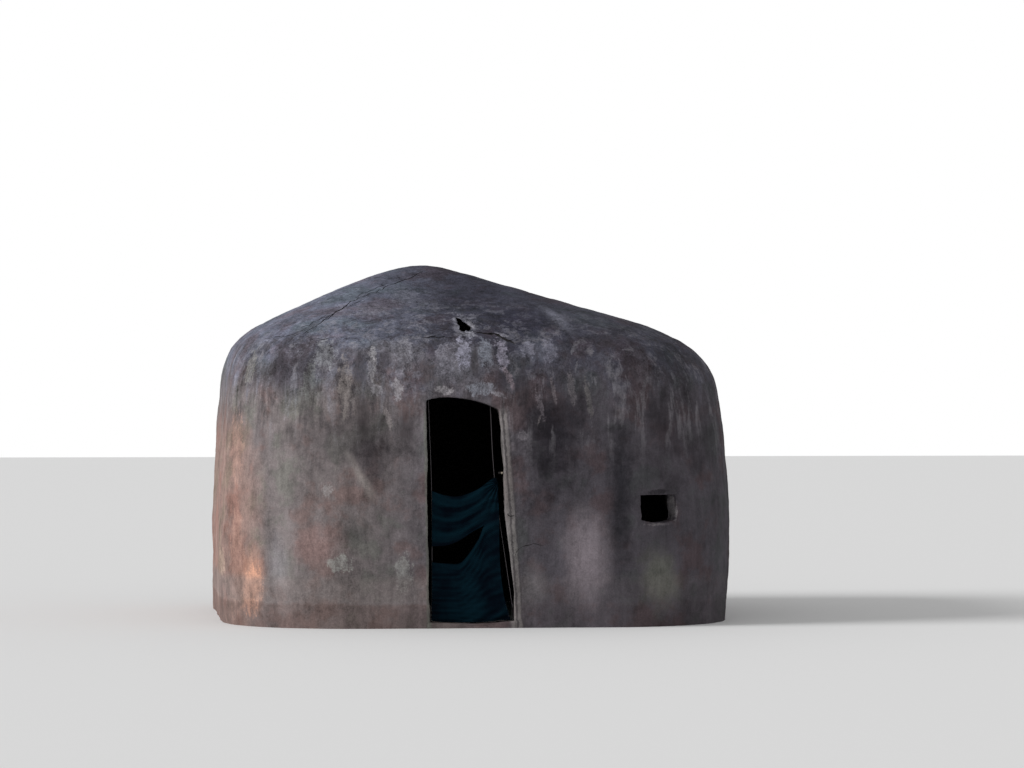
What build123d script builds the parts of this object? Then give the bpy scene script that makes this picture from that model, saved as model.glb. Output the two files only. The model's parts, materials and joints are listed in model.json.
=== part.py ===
# A hand-built clay hut used as a shooting hide. It is a squat rounded square in plan, with walls
# that swell a little, soft shoulders, and a low tent-like roof whose peak stands off centre.
# Millimetres, +Z up. The doorway looks along -Y, +X is to the right as seen from the doorway's side,
# and the origin is on the ground at the middle of the plan.
import os
from math import atan2, cos, degrees, radians, sin, tan

from build123d import *

os.makedirs("parts", exist_ok=True)

# Plan at the ground
hut_width = 3416
hut_depth = 3400
corner_radius = 900
hip_tightening = 0.32  # share by which the corners sharpen from the ground to the peak

# Profile from the ground to the peak, measured outwards from the foot of the wall or from the middle
belly_swell = 28
belly_height = 1100
belly_radius = 4800
eaves_setback = 101
eaves_height = 1886
shoulder_radius = 505
crown_start_reach = 390
crown_start_height = 2338
crown_flat_reach = 45
hut_height = 2422
peak_offset = -335  # the roof draws over to the left as it closes in
peak_pull = 0.85  # under 1, most of that comes low on the roof
wall_lean = 0.0095  # the walls lean this share of their height to the right

# Thickness of the clay, and the heights and reaches where one day's work meets the next
wall_thickness = 130
roof_thickness = 75
wall_height = 1520
eaves_joint_height = 1850
crown_joint_reach = 230

# Doorway, as seen from outside: edges at the ground and at the top, and the heights of its head
door_left_foot = -391
door_left_top = -410
door_right_foot = 163
door_right_knee = 143
door_right_knee_height = 410
door_right_waist = 109
door_right_waist_height = 680
door_right_chest = 95
door_right_chest_height = 1080
door_right_top = 64
door_left_height = 1495
door_crown_height = 1512
door_right_height = 1430
door_post_width = 72

# Sill of clay across the doorway, worn down in the middle
sill_left_height = 42
sill_middle_height = 31
sill_right_height = 56
sill_overhang = 5

# Window in the front right corner
window_place = 20.8  # degrees round the corner from the front
window_bearing = 18  # the way its sides run, turned less than the wall
window_width = 262
window_sill_height = 683
window_sill_rise = 20
window_head_height = 868
window_head_slope = 2

# Hole where the clay has fallen out of the front of the roof
hole_centre_x = -129
hole_setback = 400  # from the foot of the front wall
hole_width = 100
hole_length = 250

# Net curtain across the lower doorway, its cords and its peg
curtain_recess = 100  # behind the foot of the front wall
cloth_thickness = 9
cloth_top_left = 897
cloth_top_dip = 863
cloth_top_right = 982
cloth_corner = (68, 949)
cloth_hem_right = 149
cloth_gap_top = 534
cloth_gap_bottom = 429
cloth_gap_tip = (-18, 672)
seat_gap = 0.3
cord_diameter = 4
left_cord_top = -393
left_cord_tie = -365
left_cord_tie_height = 880
left_cord_foot = -367
right_cord_top = 15
right_cord_tie = 41
right_cord_tie_height = 965
right_cord_foot = 161
right_cord_foot_height = 115
peg_diameter = 13
peg_length = 26
peg_height = 1016
peg_recess = 60

far = 3200  # beyond the hut on any side
half_width = hut_width / 2
half_depth = hut_depth / 2
belly_reach = half_width + belly_swell
eaves_reach = half_width - eaves_setback
curtain_depth = half_depth - curtain_recess
hole_centre_y = hole_setback - half_depth
flat_x = half_width - corner_radius  # where the flat front ends and the corners begin
flat_y = half_depth - corner_radius


def keep(piece, label):
    piece.part.label = label
    export_step(piece.part, f"parts/{label}.step")


# Side view of the shell from its foot to the flat at the peak, outside and inside the clay
roof_pitch = atan2(crown_start_height - eaves_height, eaves_reach - crown_start_reach)
with BuildLine(Plane.XZ) as outer_profile:
    slope = FilletPolyline(
        (half_width, 0),
        (belly_reach, belly_height),
        (eaves_reach, eaves_height),
        (crown_start_reach, crown_start_height),
        radius=[belly_radius, shoulder_radius],
    )
    TangentArc(slope @ 1, (crown_flat_reach, hut_height), tangent=slope % 1)
with BuildLine(Plane.XZ) as room_profile:
    slope = FilletPolyline(
        (half_width - wall_thickness, 0),
        (belly_reach - wall_thickness, belly_height),
        (
            eaves_reach - wall_thickness,
            eaves_height + wall_thickness * tan(roof_pitch) - roof_thickness / cos(roof_pitch),
        ),
        (
            crown_start_reach - roof_thickness * sin(roof_pitch),
            crown_start_height - roof_thickness * cos(roof_pitch),
        ),
        radius=[belly_radius, shoulder_radius - wall_thickness],
    )
    TangentArc(slope @ 1, (crown_flat_reach, hut_height - roof_thickness), tangent=slope % 1)


def way_to(profile, height):
    """How far along a profile it reaches a height."""
    low, high = 0, 1
    for _ in range(40):
        middle = (low + high) / 2
        if (profile @ middle).Z < height:
            low = middle
        else:
            high = middle
    return low


def share_at(height):
    """The shell's reach at a height, as a share of its reach at the ground."""
    return (outer_profile.wire() @ way_to(outer_profile.wire(), height)).X / half_width


def centre_at(height):
    """The plan's middle leans with the walls and moves towards the peak as the roof closes in."""
    closing = sin(radians(90 * max(0, 1 - share_at(height))))
    return wall_lean * (height - belly_height) + peak_offset * closing**peak_pull


def radius_at(reach, height):
    return corner_radius * reach / half_width * (1 - hip_tightening * (1 - share_at(height)))


def plan_outline(reach, height, mode=Mode.ADD):
    with Locations((centre_at(height), 0)):
        RectangleRounded(2 * reach, 2 * reach * hut_depth / hut_width, radius_at(reach, height), mode=mode)


def form(profile, low, high, steps):
    """A solid through plan outlines at even steps along a profile, between two heights."""
    start = way_to(profile, low)
    end = way_to(profile, high)
    with BuildPart() as solid_form:
        for i in range(steps + 1):
            point = profile @ (start + (end - start) * i / steps)
            with BuildSketch(Plane.XY.offset(point.Z)):
                plan_outline(point.X, point.Z)
        loft()
    return solid_form.part


def lift(low, high, steps):
    """One lift of the shell: its outside less the room inside."""
    with BuildPart() as ring:
        add(form(outer_profile.wire(), low, high, steps))
        add(form(room_profile.wire(), low, min(high, hut_height - roof_thickness), steps), mode=Mode.SUBTRACT)
    return ring.part


walls = lift(0, wall_height, 2)
shoulder = lift(wall_height, eaves_joint_height, 3)
roof = lift(eaves_joint_height, hut_height, 5)


def upright(corners, low, high):
    """A block that stands on a plan outline."""
    with BuildPart() as block:
        with BuildSketch(Plane.XY.offset(low)):
            with BuildLine():
                Polyline(*corners, close=True)
            make_face()
        extrude(amount=high - low)
    return block.part


def through_front(corners):
    """A block that runs through the front wall behind an outline drawn on the front."""
    with BuildPart() as block:
        with BuildSketch(Plane.XZ):
            with BuildLine():
                Polyline(*corners, close=True)
            make_face()
        extrude(amount=far)
    return block.part


def ray(start, bearing, distance):
    """A plan point at a distance from the start, with bearings turned from -Y towards +X."""
    return (start[0] + distance * sin(radians(bearing)), start[1] - distance * cos(radians(bearing)))


def wedge(start, bearing_a, bearing_b, near, low, high):
    """A block between two rays from a plan point, from the near distance outwards."""
    corners = [ray(start, bearing_a, near), ray(start, bearing_a, far), ray(start, bearing_b, far)]
    if near > 0:
        corners.append(ray(start, bearing_b, near))
    return upright(corners, low, high)


def cut_from(ring, label, zones, openings=()):
    """The stretch of a lift that stands in all the zones, less its openings."""
    with BuildPart() as piece:
        add(ring)
        for zone in zones:
            add(zone, mode=Mode.INTERSECT)
        for opening in openings:
            add(opening, mode=Mode.SUBTRACT)
    keep(piece, label)
    return piece.part


# Doorway: the opening itself, and the column of wall that it is cut from
def doorway_sides(column):
    left_share = door_left_height / wall_height
    left_head = (door_left_foot + (door_left_top - door_left_foot) * left_share, door_left_height)
    right = [
        (door_right_foot, 0),
        (door_right_knee, door_right_knee_height),
        (door_right_waist, door_right_waist_height),
        (door_right_chest, door_right_chest_height),
        (door_right_top, door_right_height),
    ]
    with BuildPart() as block:
        with BuildSketch(Plane.XZ):
            with BuildLine():
                Line((door_left_foot, 0), left_head)
                Spline(*right)
                Line((door_left_foot, 0), (door_right_foot, 0))
                if column:
                    Polyline(left_head, (door_left_top, wall_height), (door_right_top, wall_height), right[-1])
                else:
                    Spline(left_head, ((door_left_top * 2 + door_right_top) / 3, door_crown_height), right[-1])
            make_face()
        extrude(amount=far)
    return block.part


doorway = doorway_sides(column=False)
door_column = doorway_sides(column=True)
door_middle = (door_left_foot + door_right_foot) / 2
left_post_foot = door_left_foot - door_post_width
left_post_top = door_left_top - door_post_width
right_post_foot = door_right_foot + door_post_width
right_post_top = door_right_top + door_post_width

# Walls beside the doorway
cut_from(
    walls,
    "front_wall_left",
    [through_front([(-flat_x, 0), (left_post_foot, 0), (left_post_top, wall_height), (-flat_x, wall_height)])],
)
cut_from(
    walls,
    "door_jamb_left",
    [
        through_front(
            [(left_post_foot, 0), (door_middle, 0), (door_middle, wall_height), (left_post_top, wall_height)]
        )
    ],
    [door_column],
)
right_jamb = cut_from(
    walls,
    "door_jamb_right",
    [
        through_front(
            [(door_middle, 0), (right_post_foot, 0), (right_post_top, wall_height), (door_middle, wall_height)]
        )
    ],
    [door_column],
)

# Window, and the walls round it
front_right = (flat_x, -flat_y)
corner_split = 58  # degrees round the front right corner where its two halves meet
inside_wall = corner_radius - 4 * wall_thickness
window_middle = ray(front_right, window_place, corner_radius)
window_axis = ray(window_middle, window_bearing + 180, corner_radius)
across_window = Vector(cos(radians(window_bearing)), sin(radians(window_bearing)), 0)
out_of_window = Vector(sin(radians(window_bearing)), -cos(radians(window_bearing)), 0)
window_left = ray(window_axis, window_bearing - 90, window_width / 2)
window_right = ray(window_axis, window_bearing + 90, window_width / 2)
window_plane = Plane(origin=(*window_middle, 0), x_dir=across_window, z_dir=out_of_window)

with BuildPart() as window:
    with BuildSketch(window_plane):
        with BuildLine():
            low_left = (-window_width / 2, window_sill_height + window_sill_rise)
            low_right = (window_width / 2, window_sill_height + window_sill_rise)
            high_left = (-window_width / 2, window_head_height - window_head_slope)
            high_right = (window_width / 2, window_head_height + window_head_slope)
            ThreePointArc(low_left, (0, window_sill_height), low_right)
            Line(low_right, high_right)
            ThreePointArc(high_right, (0, window_head_height + window_head_slope), high_left)
            Line(high_left, low_left)
        make_face()
    extrude(amount=3 * wall_thickness, both=True)

window_split = (window_sill_height + window_head_height) / 2
window_bay = [
    ray(window_left, window_bearing, inside_wall),
    ray(window_left, window_bearing, far),
    ray(window_right, window_bearing, far),
    ray(window_right, window_bearing, inside_wall),
]
cut_from(walls, "window_sill_wall", [upright(window_bay, 0, window_split)], [window.part])
cut_from(walls, "window_head_wall", [upright(window_bay, window_split, wall_height)], [window.part])
cut_from(
    walls,
    "front_wall_right",
    [
        through_front([(right_post_foot, 0), (far, 0), (far, wall_height), (right_post_top, wall_height)]),
        upright([(0, -inside_wall), (0, -far), window_bay[1], window_bay[0]], 0, wall_height),
    ],
)
cut_from(
    walls,
    "front_right_corner_front",
    [
        upright(
            [
                window_bay[3],
                window_bay[2],
                ray(front_right, corner_split, far),
                ray(front_right, corner_split, inside_wall),
            ],
            0,
            wall_height,
        )
    ],
)
cut_from(walls, "front_right_corner_side", [wedge(front_right, corner_split, 90, inside_wall, 0, wall_height)])

# Plain walls and the other corners, each corner in two halves
cut_from(walls, "right_wall", [upright([(0, -flat_y), (far, -flat_y), (far, flat_y), (0, flat_y)], 0, wall_height)])
cut_from(walls, "left_wall", [upright([(0, -flat_y), (-far, -flat_y), (-far, flat_y), (0, flat_y)], 0, wall_height)])
cut_from(walls, "back_wall", [upright([(-flat_x, 0), (-flat_x, far), (flat_x, far), (flat_x, 0)], 0, wall_height)])

corners = {
    "front_right": (front_right, 0),
    "back_right": ((flat_x, flat_y), 90),
    "back_left": ((-flat_x, flat_y), 180),
    "front_left": ((-flat_x, -flat_y), 270),
}
for corner in ("back_right", "back_left", "front_left"):
    start, bearing = corners[corner]
    halves = ("side", "back") if corner == "back_right" else ("back", "side")
    halves = ("side", "front") if corner == "front_left" else halves
    for half, turn in zip(halves, (0, 45)):
        cut_from(
            walls,
            f"{corner}_corner_{half}",
            [wedge(start, bearing + turn, bearing + turn + 45, inside_wall, 0, wall_height)],
        )

# Shoulder: the ring between the walls and the roof, with the head of the doorway at its front
shoulder_sides = {
    "shoulder_front": [(-flat_x, 0), (-flat_x, -far), (flat_x, -far), (flat_x, 0)],
    "shoulder_right": [(0, -flat_y), (far, -flat_y), (far, flat_y), (0, flat_y)],
    "shoulder_back": [(-flat_x, 0), (-flat_x, far), (flat_x, far), (flat_x, 0)],
    "shoulder_left": [(0, -flat_y), (-far, -flat_y), (-far, flat_y), (0, flat_y)],
}
for label in ("shoulder_right", "shoulder_back", "shoulder_left"):
    cut_from(shoulder, label, [upright(shoulder_sides[label], wall_height, hut_height)])
for corner, (start, bearing) in corners.items():
    cut_from(shoulder, f"shoulder_{corner}", [wedge(start, bearing, bearing + 90, 0, wall_height, hut_height)])

with BuildPart() as over_door:
    add(walls)
    add(door_column, mode=Mode.INTERSECT)
    add(doorway, mode=Mode.SUBTRACT)
with BuildPart() as door_head:
    add(shoulder)
    add(upright(shoulder_sides["shoulder_front"], wall_height, hut_height), mode=Mode.INTERSECT)
    add(over_door.part)
keep(door_head, "door_head")

# Roof: four slopes and four rounded hips between the shoulder and the crown, parted along rays
# from the peak to the ends of the rounded corners at the eaves
crown_joint_height = (outer_profile.wire() @ 0.96).Z
with BuildPart() as inside_crown:
    with BuildSketch(Plane.XY.offset(eaves_joint_height)):
        plan_outline(crown_joint_reach, crown_joint_height)
    extrude(amount=hut_height)

eaves_reach_at_joint = half_width * share_at(eaves_joint_height)
eaves_middle = centre_at(eaves_joint_height)
eaves_depth = eaves_reach_at_joint * hut_depth / hut_width
eaves_flat_x = eaves_reach_at_joint - radius_at(eaves_reach_at_joint, eaves_joint_height)
eaves_flat_y = eaves_depth - radius_at(eaves_reach_at_joint, eaves_joint_height)


peak = (centre_at(hut_height), 0)


def bearing_to(x, y):
    return degrees(atan2(x - peak[0], -y)) % 360


roof_rays = {
    "hip_front_right": bearing_to(eaves_middle + eaves_flat_x, -eaves_depth),
    "roof_right": bearing_to(eaves_middle + eaves_reach_at_joint, -eaves_flat_y),
    "hip_back_right": bearing_to(eaves_middle + eaves_reach_at_joint, eaves_flat_y),
    "roof_back": bearing_to(eaves_middle + eaves_flat_x, eaves_depth),
    "hip_back_left": bearing_to(eaves_middle - eaves_flat_x, eaves_depth),
    "roof_left": bearing_to(eaves_middle - eaves_reach_at_joint, eaves_flat_y),
    "hip_front_left": bearing_to(eaves_middle - eaves_reach_at_joint, -eaves_flat_y),
    "roof_front": bearing_to(eaves_middle - eaves_flat_x, -eaves_depth),
}

# The hole is drawn on the front slope, as a ragged outline in shares of its width and length, and
# its broken sides run in level
hole_reach = -hole_centre_y * hut_width / hut_depth
hole_height = eaves_height + (eaves_reach - hole_reach) * tan(roof_pitch)
hole_plane = Plane(
    origin=(hole_centre_x, hole_centre_y, hole_height),
    x_dir=(1, 0, 0),
    z_dir=(0, -sin(roof_pitch), cos(roof_pitch)),
)
hole_outline = [
    (-0.50, 0.50),
    (-0.15, 0.33),
    (0.17, 0.06),
    (0.43, -0.22),
    (0.50, -0.36),
    (0.40, -0.50),
    (0.10, -0.42),
    (-0.26, -0.46),
    (-0.28, -0.10),
    (-0.43, 0.26),
]
with BuildPart() as roof_hole:
    with BuildSketch(hole_plane):
        with BuildLine():
            Polyline(*[(x * hole_width, y * hole_length) for x, y in hole_outline], close=True)
        make_face()
    extrude(amount=4 * wall_thickness, dir=(0, 1, 0), both=True)

rays = list(roof_rays.values())
for label, first, last in zip(roof_rays, rays, rays[1:] + rays[:1]):
    with BuildPart() as roof_bay:
        with BuildSketch(Plane.XY.offset(eaves_joint_height)):
            with BuildLine():
                Polyline(peak, ray(peak, first, far), ray(peak, last, far), close=True)
            make_face()
            plan_outline(crown_joint_reach, crown_joint_height, Mode.SUBTRACT)
        extrude(amount=hut_height)
    broken = [roof_hole.part] if label == "roof_front" else []
    cut_from(roof, label, [roof_bay.part], broken)
cut_from(roof, "roof_crown", [inside_crown.part])

# Sill of the doorway
with BuildPart() as door_sill:
    with BuildSketch(Plane.XZ.offset(half_depth + sill_overhang)):
        with BuildLine():
            Spline(
                (door_left_foot - door_post_width, sill_left_height),
                (door_middle, sill_middle_height),
                (door_right_foot + door_post_width, sill_right_height),
            )
            Polyline(
                (door_right_foot + door_post_width, sill_right_height),
                (door_right_foot + door_post_width, 0),
                (door_left_foot - door_post_width, 0),
                (door_left_foot - door_post_width, sill_left_height),
            )
        make_face()
    extrude(amount=-(wall_thickness + sill_overhang))
    add(doorway, mode=Mode.INTERSECT)
keep(door_sill, "door_sill")

# Net curtain: one cloth that hangs over the lower doorway, with a horn-shaped gap at its left edge
curtain_left = left_cord_tie - cord_diameter / 2
with BuildPart() as curtain:
    with BuildSketch(Plane.XZ.offset(curtain_depth)):
        with BuildLine():
            top = Spline(
                (curtain_left, cloth_top_left),
                (door_middle - door_post_width, cloth_top_dip),
                (right_cord_tie, cloth_top_right),
            )
            right_edge = Spline(cloth_corner, (77, 650), (81, 442), (114, 179), (cloth_hem_right, 75))
            Line(top @ 1, right_edge @ 0)
            lower_gap = Spline((curtain_left, cloth_gap_bottom), (-170, 432), (-64, 574), cloth_gap_tip)
            upper_gap = Spline(cloth_gap_tip, (-104, 626), (-263, 541), (curtain_left, cloth_gap_top))
            Line(top @ 0, upper_gap @ 1)
            Polyline(lower_gap @ 0, (curtain_left, 0), (cloth_hem_right, 0), right_edge @ 1)
        make_face()
    extrude(amount=cloth_thickness)
    with BuildSketch(Plane.XZ.offset(curtain_depth - cloth_thickness)):
        with BuildLine():
            Spline(
                (door_left_foot - door_post_width, sill_left_height + seat_gap),
                (door_middle, sill_middle_height + seat_gap),
                (door_right_foot + door_post_width, sill_right_height + seat_gap),
            )
            Polyline(
                (door_right_foot + door_post_width, sill_right_height + seat_gap),
                (door_right_foot + door_post_width, -sill_right_height),
                (door_left_foot - door_post_width, -sill_right_height),
                (door_left_foot - door_post_width, sill_left_height + seat_gap),
            )
        make_face()
    extrude(amount=3 * cloth_thickness, mode=Mode.SUBTRACT)
keep(curtain, "door_curtain")

# Cords, pulled straight from the head of the doorway to the sill and to the foot of the right jamb
cord_depth = curtain_depth - seat_gap - cord_diameter / 2


def taut_cord(label, route, ends):
    points = [(x, -cord_depth, z) for x, z in route]
    upper, lower = Vector(*points[0]) - Vector(*points[1]), Vector(*points[1]) - Vector(*points[2])
    half_turn = radians(upper.get_angle(lower) / 2)
    bend = 0.45 * min(upper.length, lower.length) * cos(half_turn) / sin(half_turn)
    with BuildPart() as cord:
        with BuildLine():
            path = FilletPolyline(*points, radius=bend)
        with BuildSketch(Plane(origin=path @ 0, z_dir=path % 0)):
            Circle(cord_diameter / 2)
        sweep()
        for held in ends:
            add(held, mode=Mode.SUBTRACT)
    keep(cord, label)


taut_cord(
    "curtain_cord_left",
    [
        (left_cord_top, door_crown_height + door_post_width / 2),
        (left_cord_tie, left_cord_tie_height),
        (left_cord_foot, sill_middle_height / 2),
    ],
    [door_head.part, door_sill.part],
)
taut_cord(
    "curtain_cord_right",
    [
        (right_cord_top, door_crown_height + door_post_width / 2),
        (right_cord_tie, right_cord_tie_height),
        (right_cord_foot + door_post_width / 4, right_cord_foot_height - door_post_width),
    ],
    [door_head.part, right_jamb],
)

# Peg driven into the right jamb, for the curtain's top corner
with BuildPart() as curtain_peg:
    with BuildSketch(Plane.YZ.offset(door_right_chest - peg_length)):
        with Locations((peg_recess - half_depth, peg_height)):
            Circle(peg_diameter / 2)
    extrude(amount=2 * peg_length)
    add(right_jamb, mode=Mode.SUBTRACT)
keep(curtain_peg, "curtain_peg")
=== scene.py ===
import json
import math
import random

import bpy
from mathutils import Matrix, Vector
from mathutils.bvhtree import BVHTree

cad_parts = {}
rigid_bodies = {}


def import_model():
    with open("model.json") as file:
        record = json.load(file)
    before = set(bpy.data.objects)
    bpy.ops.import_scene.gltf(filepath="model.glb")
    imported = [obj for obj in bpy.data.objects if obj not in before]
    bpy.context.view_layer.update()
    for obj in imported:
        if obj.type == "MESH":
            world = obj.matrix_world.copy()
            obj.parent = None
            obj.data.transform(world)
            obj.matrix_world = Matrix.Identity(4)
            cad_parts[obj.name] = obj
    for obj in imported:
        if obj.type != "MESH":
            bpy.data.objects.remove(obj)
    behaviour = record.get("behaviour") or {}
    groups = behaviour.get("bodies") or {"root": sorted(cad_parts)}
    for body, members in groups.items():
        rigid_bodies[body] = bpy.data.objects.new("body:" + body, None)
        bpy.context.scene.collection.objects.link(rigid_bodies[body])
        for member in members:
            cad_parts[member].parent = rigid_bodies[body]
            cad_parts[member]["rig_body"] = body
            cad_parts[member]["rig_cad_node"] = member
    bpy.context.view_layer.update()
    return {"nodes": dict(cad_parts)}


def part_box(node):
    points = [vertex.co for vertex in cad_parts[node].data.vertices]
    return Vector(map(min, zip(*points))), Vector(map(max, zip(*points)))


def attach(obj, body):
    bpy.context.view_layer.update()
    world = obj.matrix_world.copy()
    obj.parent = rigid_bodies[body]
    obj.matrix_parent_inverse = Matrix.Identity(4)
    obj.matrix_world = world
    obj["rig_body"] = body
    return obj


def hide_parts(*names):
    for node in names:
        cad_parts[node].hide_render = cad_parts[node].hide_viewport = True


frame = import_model()
print("frame loaded:", len(frame["nodes"]), "pieces of the hut")


# Camera: level, at eye height, a little left of square to the doorway
view = {
    "lens": 140.6, "sensor": 36, "height": 1.6, "distance": 27.9, "turn": 6.0, "aside": 0.3285, "reach": 200,
}


def addCamera():
    turn = math.radians(view["turn"])
    look = Vector((math.sin(turn), math.cos(turn), 0))
    across = Vector((math.cos(turn), -math.sin(turn), 0))
    place = -view["distance"] * look + view["aside"] * across
    place.z = view["height"]
    bpy.ops.object.camera_add(location=place, rotation=(math.pi / 2, 0, -turn))
    camera = bpy.context.object
    camera.name = "photoCamera"
    camera.data.lens = view["lens"]
    camera.data.sensor_width = view["sensor"]
    camera.data.clip_end = view["reach"]
    bpy.context.scene.camera = camera


addCamera()
print("camera placed")


# Modelling helpers
def pick(*pieces):
    bpy.ops.object.select_all(action="DESELECT")
    for piece in pieces:
        piece.select_set(True)
    bpy.context.view_layer.objects.active = pieces[0]


def finish(piece, kind, **settings):
    pick(piece)
    bpy.ops.object.modifier_add(type=kind)
    modifier = piece.modifiers[-1]
    for name, value in settings.items():
        setattr(modifier, name, value)
    bpy.ops.object.modifier_apply(modifier=modifier.name)


def copyOf(piece, name):
    twin = piece.copy()
    twin.data = piece.data.copy()
    twin.name = name
    twin.parent = None
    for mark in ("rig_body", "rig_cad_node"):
        if mark in twin:
            del twin[mark]
    bpy.context.collection.objects.link(twin)
    return twin


def mergeDoubles(piece, distance=0.0001):
    pick(piece)
    bpy.ops.object.mode_set(mode="EDIT")
    bpy.ops.mesh.select_all(action="SELECT")
    bpy.ops.mesh.remove_doubles(threshold=distance)
    bpy.ops.object.mode_set(mode="OBJECT")


def chooseVerts(piece, test):
    # leaves the piece in edit mode, with the vertices that pass the test selected
    pick(piece)
    bpy.ops.object.mode_set(mode="EDIT")
    bpy.ops.mesh.select_mode(type="VERT")
    bpy.ops.mesh.select_all(action="DESELECT")
    bpy.ops.object.mode_set(mode="OBJECT")
    for vert in piece.data.vertices:
        vert.select = test(vert.co)
    bpy.ops.object.mode_set(mode="EDIT")


def faceOut():
    # all faces of the active piece look outwards
    bpy.ops.object.mode_set(mode="EDIT")
    bpy.ops.mesh.select_all(action="SELECT")
    bpy.ops.mesh.normals_make_consistent(inside=False)
    bpy.ops.object.mode_set(mode="OBJECT")


def block(name, start, end):
    # a closed block between two outlines with the same number of corners
    bpy.ops.mesh.primitive_circle_add(vertices=len(start), fill_type="NGON", location=(0, 0, 0))
    made = bpy.context.object
    made.name = name
    bpy.ops.object.mode_set(mode="EDIT")
    bpy.ops.mesh.select_all(action="SELECT")
    bpy.ops.mesh.extrude_region_move(TRANSFORM_OT_translate={"value": (0, 0, 1)})
    bpy.ops.object.mode_set(mode="OBJECT")
    for vert, corner in zip(made.data.vertices, [*start, *end]):
        vert.co = corner
    faceOut()
    return made


def prism(name, corners, low, high):
    # a block that stands on a plan outline
    return block(name, [(x, y, low) for x, y in corners], [(x, y, high) for x, y in corners])


def box(name, centre, size, low, high, bearing=0):
    turn = math.radians(bearing)
    across = Vector((math.cos(turn), math.sin(turn)))
    out = Vector((math.sin(turn), -math.cos(turn)))
    middle = Vector(centre)
    half = Vector(size) / 2
    corners = [
        middle + across * half.x * i + out * half.y * j
        for i, j in ((-1, -1), (-1, 1), (1, 1), (1, -1))
    ]
    return prism(name, corners, low, high)


def combine(piece, cutter, operation):
    finish(piece, "BOOLEAN", object=cutter, operation=operation, solver="MANIFOLD")


# Uneven clay: the same lumps on every piece, so that neighbours meet
lumps = {
    "hand": {"size": 0.50, "height": 0.026},
    "palm": {"size": 0.16, "height": 0.010},
    "trowel": {"size": 0.055, "height": 0.004},
}
lumpTextures = {}
for lumpName, lump in lumps.items():
    texture = bpy.data.textures.new(lumpName, "CLOUDS")
    texture.noise_scale = lump["size"]
    texture.noise_depth = 2
    lumpTextures[lumpName] = texture


def roughen(piece):
    for lumpName, lump in lumps.items():
        finish(
            piece, "DISPLACE", texture=lumpTextures[lumpName], texture_coords="LOCAL", mid_level=0.5,
            strength=lump["height"],
        )


# Clay shell: all the clay nodes as one skin. Its foot is drawn down below the ground, so that the cuts that
# part the skin later leave it flat
shell = {"grain": 0.017, "rounding": 3, "easing": 0.5, "footLine": 0.001, "footing": 0.05}
crumbs = {"size": 0.022, "height": 0.007, "border": 0.05}
softNodes = ("door_curtain", "curtain_cord_left", "curtain_cord_right", "curtain_peg", "door_sill")
clayNodes = [name for name in frame["nodes"] if name not in softNodes]


def sinkFoot(piece):
    chooseVerts(piece, lambda place: place.z < shell["footLine"])
    bpy.ops.transform.translate(value=(0, 0, -shell["footing"]))
    bpy.ops.object.mode_set(mode="OBJECT")


def skinOf(pieces, name, grain, rounding):
    pick(*pieces)
    if len(pieces) > 1:
        bpy.ops.object.join()
    skin = bpy.context.object
    skin.name = name
    mergeDoubles(skin)
    sinkFoot(skin)
    finish(skin, "REMESH", mode="VOXEL", voxel_size=grain)
    finish(skin, "SMOOTH", factor=shell["easing"], iterations=rounding)
    roughen(skin)
    return skin


clayCopies = [copyOf(frame["nodes"][name], name + "Copy") for name in clayNodes]
hutSkin = skinOf(clayCopies, "hutSkin", shell["grain"], shell["rounding"])
print("clay skin made:", len(hutSkin.data.polygons), "faces")

# Places that need a finer skin: round the doorway, the window and the hole in the roof
surrounds = {
    "doorSurround": {
        "centre": (-0.115, -1.62), "size": (0.84, 0.60), "low": 0, "high": 1.62, "bearing": 0,
        "grain": 0.0065, "rounding": 14, "margin": 0.06,
        "nodes": ("door_jamb_left", "door_jamb_right"), "slot": "jamb_clay",
    },
    "windowSurround": {
        "centre": (1.125, -1.64), "size": (0.50, 0.56), "low": 0.50, "high": 1.06, "bearing": 20,
        "grain": 0.0065, "rounding": 10, "margin": 0.05,
        "nodes": ("window_sill_wall", "window_head_wall"), "slot": "wall_clay",
    },
    "holeSurround": {
        "centre": (-0.129, -1.20), "size": (0.36, 0.60), "low": 1.6, "high": 2.3, "bearing": 0,
        "grain": 0.0055, "rounding": 4, "margin": 0.04,
        "nodes": (), "slot": "roof_clay",
    },
}


def overlaps(name, low, high):
    nodeLow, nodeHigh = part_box(name)
    return all(nodeLow[i] < high[i] and nodeHigh[i] > low[i] for i in range(3))


def crumble(skin, place):
    # small crumbs everywhere but at the border, where the surround meets the skin round it
    texture = bpy.data.textures.new("crumbs", "CLOUDS")
    texture.noise_scale = crumbs["size"]
    texture.noise_depth = 3
    turn = math.radians(place["bearing"])
    across = Vector((math.cos(turn), math.sin(turn)))
    middle = Vector(place["centre"])
    inner = skin.vertex_groups.new(name="inner")
    for vert in skin.data.vertices:
        aside = abs((vert.co.xy - middle).dot(across))
        inset = min(place["size"][0] / 2 - aside, place["high"] - vert.co.z)
        if place["low"] > 0:
            inset = min(inset, vert.co.z - place["low"])
        inner.add([vert.index], min(max(inset / crumbs["border"], 0), 1), "REPLACE")
    finish(
        skin, "DISPLACE", texture=texture, texture_coords="LOCAL", mid_level=0.5,
        strength=crumbs["height"], vertex_group="inner",
    )


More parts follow.
